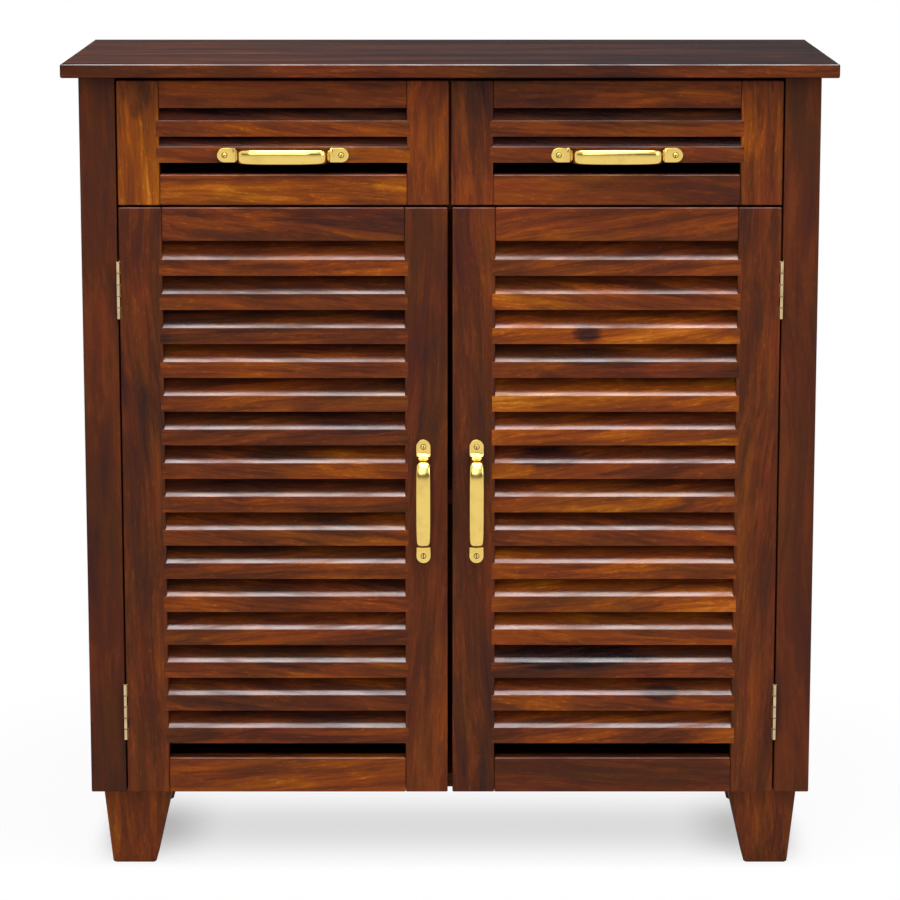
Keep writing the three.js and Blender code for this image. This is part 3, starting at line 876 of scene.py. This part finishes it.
def dress_leg(row, hand):
    """A leg that tapers from the carcass to the floor, leaning out a little."""
    node = f"{row}_{hand}_leg"
    name = f"{node}_post"
    low, high = corners(node)
    middle = (low + high) / 2
    height = high.z - low.z
    taper = (LEG_TOP - LEG_FOOT) / 2 / height
    towards = -1 if row == "front" else 1
    bm = bmesh.new()
    rings = []
    for z, half in ((low.z, LEG_FOOT / 2 - LEG_EASE),
                    (low.z + LEG_EASE, LEG_FOOT / 2 + taper * LEG_EASE),
                    (high.z, LEG_TOP / 2)):
        lean = LEG_LEAN * (high.z - z) / height
        x_middle = middle.x + HANDS[hand] * lean
        y_middle = middle.y + towards * lean
        rings.append([bm.verts.new((x_middle + x, y_middle + y, z))
                      for x, y in cornered_square(half, LEG_CORNER)])
    skin(bm, rings)
    mesh = mesh_of(bm, name)
    write_grain(mesh, low, high, Z, LEG_TONES[hand], LEG_SLANT, node, LEG_FIGURE)
    link(name, mesh, (WOOD,), "carcass", (node,))


# The bow handles, from the end of a plate to the middle of the grip
PLATE_THICKNESS = 0.0024
PLATE_EASE = 0.0007
PLATE_EASE_SHARE = 0.3
PLATE_CORNER_STEPS = 16
BOW_HALF = 0.0530
BOW_SQUARENESS = 5.2
BOW_FULLNESS = 1 / 3
BOW_STEPS = 44
FOOT_FILLET = 0.0048
FOOT_FILLET_STEPS = 8
PLATE_UNDER_FILLET = 0.75
NECK_TOP = 0.0072
GRIP_START = 0.0150
# Width and thickness
FOOT_SIZE = (0.0166, 0.0018)
NECK_SIZE = (0.0136, 0.0036)
GRIP_SIZE = (0.0162, 0.0050)
GRIP_SWELL = 0.0009
GRIP_SWELL_SHARE = 0.7
GRIP_EDGE_SHARE = 0.26
GRIP_BACK_ROUND = 0.6
GRIP_CROWN_POWER = 0.74
GRIP_CROWN_STEPS = 20

# The screws, whose slots stand at any angle
SCREW_SIDES = 24
SCREW_RADIUS = 0.0028
SCREW_HEIGHT = 0.0015
SCREW_SINK_SHARE = 0.2
SCREW_RING = 0.0006
SCREW_RING_HEIGHT = 0.00015
SCREW_SLOT = 0.0010
SCREW_SLOT_DEPTH = 0.0013
SLOT_REACH_SHARE = 1.5
SLOT_TOP_SHARE = 2
SCREW_FROM_END = 0.0086
SCREW_DOME_STEPS = 7
UPRIGHT_SCREW_TURN = 6
LYING_SCREW_TURNS = (62, 14)
LEAF_SCREW_TURNS = (31, 17)
LEAF_SCREW_HEIGHT = 0.0002
LEAF_SCREW_PLACES = ((0.17, 0.46), (0.50, 0.60), (0.83, 0.46))

# The butt hinges
HINGE_AXIS = (0.3796, -0.17765)
BARREL_RADIUS = 0.0025
BARREL_SIDES = 20
PIN_RADIUS = 0.0012
PIN_SIDES = 16
PIN_HEAD = 0.0007
PIN_END_SHARE = 0.6
KNUCKLES = 5
KNUCKLE_GAP = 0.0008
KNUCKLE_EASE = 0.0002
LEAF_EASE = 0.0002
LEAF_PLAY = 0.0003
LEAF_START_SHARE = 0.9


def eased_share(value, low, high):
    share = min(max((value - low) / (high - low), 0.0), 1.0)
    return share * share * (3 - 2 * share)


def bow_stations(projection):
    """The bow's outer line from one foot to the other, with its width and thickness. A
    fillet rises from the plate and the bow swings over in a squarish arch."""
    base = PLATE_THICKNESS + FOOT_FILLET
    half = arc((BOW_HALF + FOOT_FILLET, base), FOOT_FILLET, 270, 180, FOOT_FILLET_STEPS)
    for step in range(1, BOW_STEPS // 2 + 1):
        share = math.sin(math.pi / 2 * (1 - step / (BOW_STEPS // 2))) ** (2 / BOW_SQUARENESS)
        arch = (1 - share ** BOW_SQUARENESS) ** BOW_FULLNESS
        half.append((BOW_HALF * share, base + (projection - base) * arch))
    stations = []
    for u, p in half + [(-u, p) for u, p in half[-2::-1]]:
        narrowing = eased_share(p, PLATE_THICKNESS, NECK_TOP)
        widening = eased_share(p, NECK_TOP, GRIP_START)
        swell = GRIP_SWELL * eased_share(1 - abs(u) / BOW_HALF, 0.0, GRIP_SWELL_SHARE)
        width, thickness = (foot + (neck - foot) * narrowing + (grip - neck) * widening
                            for foot, neck, grip in zip(FOOT_SIZE, NECK_SIZE, GRIP_SIZE))
        stations.append((u, p, width + swell, thickness))
    return stations


def grip_section(width, thickness):
    """Flat behind and crowned in front with full shoulders, as (across, depth) pairs."""
    edge = thickness * GRIP_EDGE_SHARE
    crown = []
    for step in range(GRIP_CROWN_STEPS + 1):
        angle = math.pi * step / GRIP_CROWN_STEPS
        across = math.copysign(abs(math.cos(angle)) ** GRIP_CROWN_POWER, math.cos(angle))
        height = math.sin(angle) ** GRIP_CROWN_POWER
        crown.append((width / 2 * across, edge + (thickness - edge) * height))
    back = width / 2 - edge * GRIP_BACK_ROUND
    return crown + [(-back, 0.0), (back, 0.0)]


def sweep_bow(bm, projection, place):
    stations = bow_stations(projection)
    rings = []
    for index, (u, p, width, thickness) in enumerate(stations):
        before = stations[max(index - 1, 0)]
        after = stations[min(index + 1, len(stations) - 1)]
        run = Vector((after[0] - before[0], after[1] - before[1])).normalized()
        ring = []
        for across, height in grip_section(width, thickness):
            depth = height - thickness
            ring.append(bm.verts.new(place(u + run.y * depth, across, p - run.x * depth)))
        rings.append(ring)
    skin(bm, rings)


def add_plate(bm, end, length, width, place):
    """One rounded foot plate of a handle, bevelled round its top."""
    radius = width / 2
    eased = PLATE_EASE * PLATE_EASE_SHARE
    rings = []
    for height, inset in ((0.0, 0.0), (PLATE_THICKNESS - PLATE_EASE, 0.0),
                          (PLATE_THICKNESS - eased, eased), (PLATE_THICKNESS, PLATE_EASE)):
        start = BOW_HALF + FOOT_FILLET * PLATE_UNDER_FILLET + inset
        rounded = arc((length / 2 - radius, 0.0), radius - inset, -90, 90, PLATE_CORNER_STEPS)
        outline = [(start, -radius + inset)] + rounded + [(start, radius - inset)]
        rings.append([bm.verts.new(place(end * u, w, height)) for u, w in outline])
    skin(bm, rings)


def keep_flat(mesh):
    """Shades the plates flat up to their bevels, where they would seem to sag."""
    normals = [corner.vector.copy() for corner in mesh.corner_normals]
    flat = {}
    for polygon in mesh.polygons:
        if len(polygon.vertices) > 4:
            for index in polygon.vertices:
                flat[index] = polygon.normal.copy()
    for polygon in mesh.polygons:
        for corner in polygon.loop_indices:
            normal = flat.get(mesh.loops[corner].vertex_index)
            if normal is not None and normal.angle(polygon.normal) < SMOOTH_ANGLE:
                normals[corner] = normal
    mesh.normals_split_custom_set(normals)


def lathe(bm, profile, sides, place):
    """A turned solid from (radius, height) pairs, closed at both ends. Gives back its
    faces in rows."""
    turns = [2 * math.pi * side / sides for side in range(sides)]
    return skin(bm, [[bm.verts.new(place(radius * math.cos(turn), radius * math.sin(turn),
                                         height)) for turn in turns]
                     for radius, height in profile])


def add_screw(name, height, slot_depth, place, finish, body):
    """A domed, slotted screw head, with painted shade, partly dirt, in a ring round its edge and
    in its slot.
    """
    radius = SCREW_RADIUS
    ring = radius + SCREW_RING
    dome = [(ring, -height * SCREW_SINK_SHARE), (ring, SCREW_RING_HEIGHT),
            (radius, SCREW_RING_HEIGHT)]
    for step in range(1, SCREW_DOME_STEPS):
        angle = math.pi / 2 * step / SCREW_DOME_STEPS
        dome.append((radius * math.cos(angle), height * math.sin(angle)))
    head = bmesh.new()
    # The flat ring round the head takes the dark colour: painted shade of its recess, partly dirt
    for face in lathe(head, dome, SCREW_SIDES, place)[1]:
        face.material_index = 1
    cutter = bmesh.new()
    half = SCREW_SLOT / 2
    floor = height - slot_depth
    top = height * SLOT_TOP_SHARE
    reach = radius * SLOT_REACH_SHARE
    section = ((-half, floor), (half, floor), (half, top), (-half, top))
    skin(cutter, [[cutter.verts.new(place(u, w, h)) for w, h in section]
                  for u in (-reach, reach)])
    head_mesh = smooth_mesh(head, name)
    head_mesh.materials.append(finish)
    head_mesh.materials.append(SLOT_DIRT_AND_SHADE)
    cutter_mesh = smooth_mesh(cutter, "slot")
    # The slot's walls take the dark colour too: painted shade in the slot, partly dirt
    cutter_mesh.materials.append(SLOT_DIRT_AND_SHADE)
    link(name, carved(head_mesh, cutter_mesh, name), (finish, SLOT_DIRT_AND_SHADE), body)


def dress_handle(hand, part):
    """A bow on two plates, each with a screw. u runs along it, w across and p out."""
    node = f"{hand}_{part}_handle"
    body = f"{hand}_{part}"
    low, high = corners(node)
    middle = (low + high) / 2
    size = high - low
    upright = size.z > size.x
    length = max(size.x, size.z)

    def place(u, w, p):
        if upright:
            return (middle.x + w, high.y - p, middle.z + u)
        return (middle.x + u, high.y - p, middle.z + w)

    bm = bmesh.new()
    sweep_bow(bm, size.y, place)
    for end in (-1, 1):
        add_plate(bm, end, length, min(size.x, size.z), place)
    mesh = smooth_mesh(bm, f"{node}_bow")
    keep_flat(mesh)
    link(f"{node}_bow", mesh, (SATIN_BRASS,), body, (node,))
    for end, key in ((-1, "first"), (1, "second")):
        centre = end * (length / 2 - SCREW_FROM_END)
        start, more = (0, UPRIGHT_SCREW_TURN) if upright else LYING_SCREW_TURNS
        turn = math.radians(start + more * end)

        def screw_place(u, w, p):
            along, across = turned(u, w, turn)
            return place(centre + along, across, p + PLATE_THICKNESS)

        add_screw(f"{node}_{key}_screw", SCREW_HEIGHT, SCREW_SLOT_DEPTH, screw_place,
                  SATIN_BRASS, body)


def add_block(bm, low, high, ease):
    """Adds a block of brass with eased edges."""
    mesh = board_mesh("block", low, high, Z, ease)
    bm.from_mesh(mesh)
    bpy.data.meshes.remove(mesh)


def hinge_piece(hand, level, kind):
    """One leaf of a hinge with its knuckles and screws. The frame leaf holds the pin."""
    node = f"{hand}_{level}_hinge_{kind}_leaf"
    body = "carcass" if kind == "frame" else f"{hand}_door"
    axis_x = HANDS[hand] * HINGE_AXIS[0]
    axis_y = HINGE_AXIS[1]
    low, high = corners(node)
    length = high.z - low.z
    outward = HANDS[hand] if kind == "frame" else -HANDS[hand]
    near = axis_x + outward * LEAF_PLAY
    x_low, x_high = sorted((near, high.x if outward > 0 else low.x))

    def on_axis(x, y, z):
        return (axis_x + x, axis_y + y, z)

    bm = bmesh.new()
    pitch = (length + KNUCKLE_GAP) / KNUCKLES
    eased = BARREL_RADIUS - KNUCKLE_EASE
    for index in range(0 if kind == "frame" else 1, KNUCKLES, 2):
        start = low.z + index * pitch
        end = start + pitch - KNUCKLE_GAP
        inner_start = start + KNUCKLE_EASE
        inner_end = end - KNUCKLE_EASE
        rows = lathe(bm, ((eased, start), (BARREL_RADIUS, inner_start),
                          (BARREL_RADIUS, inner_end), (eased, end)), BARREL_SIDES, on_axis)
        # The knuckles' eased ends and caps take the dark colour: painted shade of the joints,
        # partly dirt
        for face in rows[0] + rows[2] + rows[3]:
            face.material_index = 1
        add_block(bm, (x_low, axis_y, inner_start),
                  (x_high, axis_y + BARREL_RADIUS, inner_end), 0)
    if kind == "frame":
        narrow = PIN_RADIUS * PIN_END_SHARE
        half_head = PIN_HEAD / 2
        lathe(bm, ((narrow, low.z - PIN_HEAD), (PIN_RADIUS, low.z - half_head),
                   (PIN_RADIUS, high.z + half_head), (narrow, high.z + PIN_HEAD)),
              PIN_SIDES, on_axis)
    add_block(bm, (x_low, axis_y + BARREL_RADIUS * LEAF_START_SHARE, low.z),
              (x_high, high.y, high.z), LEAF_EASE)
    link(f"{node}_brass", smooth_mesh(bm, f"{node}_brass"), (AGED_BRASS, SLOT_DIRT_AND_SHADE), body,
         (node,))
    for number, (share_z, share_y) in enumerate(LEAF_SCREW_PLACES, 1):
        spot_y = axis_y + BARREL_RADIUS + (high.y - axis_y - BARREL_RADIUS) * share_y
        spot_z = low.z + length * share_z
        turn = math.radians(LEAF_SCREW_TURNS[0] * number + LEAF_SCREW_TURNS[1] * len(node))

        def place(u, w, p):
            across, along = turned(u, w, turn)
            return (near - outward * p, spot_y + across, spot_z + along)

        add_screw(f"{node}_screw_{number}", LEAF_SCREW_HEIGHT, LEAF_SCREW_HEIGHT / 2, place,
                  AGED_BRASS, body)


# The camera stands level with the photograph's, looking down on the top a little
CAMERA_PLACE = (0.0, -4.2052, 1.2551)
CAMERA_PITCH = math.radians(10.556)
CAMERA_LENS = 141.97
CAMERA_SENSOR = 36.0


def make_camera():
    data = bpy.data.cameras.new("camera")
    data.sensor_width = CAMERA_SENSOR
    data.lens = CAMERA_LENS
    camera = in_scene("camera", data)
    camera.location = CAMERA_PLACE
    camera.rotation_euler = (math.pi / 2 - CAMERA_PITCH, 0, 0)
    bpy.context.scene.camera = camera


# The lamps: place, aim, width and height, power and colour
WHITE = (1.0, 1.0, 1.0)
STRIP_COLOUR = (1.0, 0.95, 0.96)
MIDDLE = (0, 0, 0.5)
LAMPS = {
    "overhead_strip": ((0.10, -0.55, 2.2), (0.10, -0.55, 0.0), (1.46, 0.60), 36, STRIP_COLOUR),
    "front_top_panel": ((0.1, -1.9, 2.6), MIDDLE, (1.6, 1.2), 24, WHITE),
    "front_fill": ((-0.9, -4.6, 2.4), MIDDLE, (2.6, 2.0), 45, WHITE),
    "right_fill": ((3.4, -2.0, 1.8), MIDDLE, (1.4, 1.8), 25, WHITE),
    "back_fill": ((0.1, 3.6, 0.7), MIDDLE, (2.6, 1.0), 28, WHITE),
}


def make_lamps():
    for name, (place, aim, size, power, colour) in LAMPS.items():
        data = bpy.data.lights.new(name, "AREA")
        data.shape = "RECTANGLE"
        data.size, data.size_y = size
        data.energy = power
        data.color = colour
        lamp = in_scene(name, data)
        lamp.location = place
        lamp.rotation_euler = (Vector(aim) - Vector(place)).to_track_quat("-Z", "Y").to_euler()


def seen_directly(shade):
    """1 for what the camera sees, also in gloss and through glass, else 0."""
    return (shade.ray("Camera") + shade.ray("Glossy") + shade.ray("Transmission")).clamp()


WORLD_LEVEL = 0.45
# In gloss the studio is unlit in front, from the horizon up to the lamps and far down the
# floor: from where to where it darkens upwards, in front and along the floor
UNLIT_FROM = (0.00, 0.03)
UNLIT_TO = (0.27, 0.21)
UNLIT_IN_FRONT = (-0.25, -0.55)
UNLIT_DARKNESS = 0.82
UNLIT_FLOOR = (12.0, 30.0)
FLOOR_HALF = 40.0
FLOOR_GREY = 0.80
# The floor keeps the cabinet's shadow: sideways, front to back, beside the legs and around
SHADOW_SIDES = (0.440, 0.395)
SHADOW_DEPTH = (0.190, 0.010)
SHADOW_BY_LEGS = (0.270, 0.360)
SHADOW_DARKNESS = 0.26
SHADOW_LEGS_DARKER = 0.30
SHADOW_REACH = (0.95, 0.55)
SHADOW_AROUND = 0.07


def make_world():
    """A plain white world, dark in gloss between the horizon and the lamps in front."""
    world = bpy.data.worlds.new("studio")
    bpy.context.scene.world = world
    world.use_nodes = True
    shade = Shade(world.node_tree)
    _, deep, upward = shade.coordinates("Generated").parts()
    gap = upward.between(*UNLIT_FROM) * upward.between(*UNLIT_TO)
    gap = gap * deep.between(*UNLIT_IN_FRONT) * shade.ray("Glossy")
    strength = seen_directly(shade) * (1.0 - WORLD_LEVEL) + WORLD_LEVEL
    strength = strength - gap * UNLIT_DARKNESS
    feed(world.node_tree.nodes["Background"], {"Strength": strength, "Color": (*WHITE, 1)})


def make_floor():
    """A pale floor that the camera sees white but for the shadow."""
    material, shade, shader = new_finish("pale_floor", {
        "Base Color": (FLOOR_GREY, FLOOR_GREY, FLOOR_GREY, 1), "Roughness": 0.9})
    place = shade.coordinates("Object")
    sideways, deep = (part.absolute() for part in place.parts()[:2])
    reach = place.node("VectorMath", {"operation": "LENGTH"}, {0: place}, 1)
    under = sideways.between(*SHADOW_SIDES) * deep.between(*SHADOW_DEPTH)
    by_legs = sideways.between(*SHADOW_BY_LEGS) * SHADOW_LEGS_DARKER + SHADOW_DARKNESS
    around = reach.between(*SHADOW_REACH) * SHADOW_AROUND
    white = seen_directly(shade) * (1.0 - around - under * by_legs)
    white = white * (1.0 - reach.between(*UNLIT_FLOOR) * shade.ray("Glossy"))
    glow = shade.node("Emission", None, {"Color": (*WHITE, 1), "Strength": 1.0})
    lit = Shade(shade.tree, shader.outputs[0])
    blend = shade.node("MixShader", None, {0: white, 1: lit, 2: glow})
    feed(shade.tree.nodes["Material Output"], {"Surface": blend})
    mesh = bpy.data.meshes.new("floor")
    half = FLOOR_HALF
    mesh.from_pydata([(-half, -half, 0), (half, -half, 0), (half, half, 0), (-half, half, 0)],
                     [], [(0, 1, 2, 3)])
    mesh.materials.append(material)
    in_scene("floor", mesh)


make_camera()
make_world()
make_floor()
make_lamps()
dress_top()
for hand in HANDS:
    dress_side(hand)
    dress_door(hand)
    dress_drawer(hand)
dress_inside()
for row in ("front", "rear"):
    for hand in HANDS:
        dress_leg(row, hand)
for hand in HANDS:
    for part in ("door", "drawer"):
        dress_handle(hand, part)
    for level in ("upper", "lower"):
        for kind in ("frame", "door"):
            hinge_piece(hand, level, kind)

bpy.context.scene.view_settings.view_transform = "Standard"
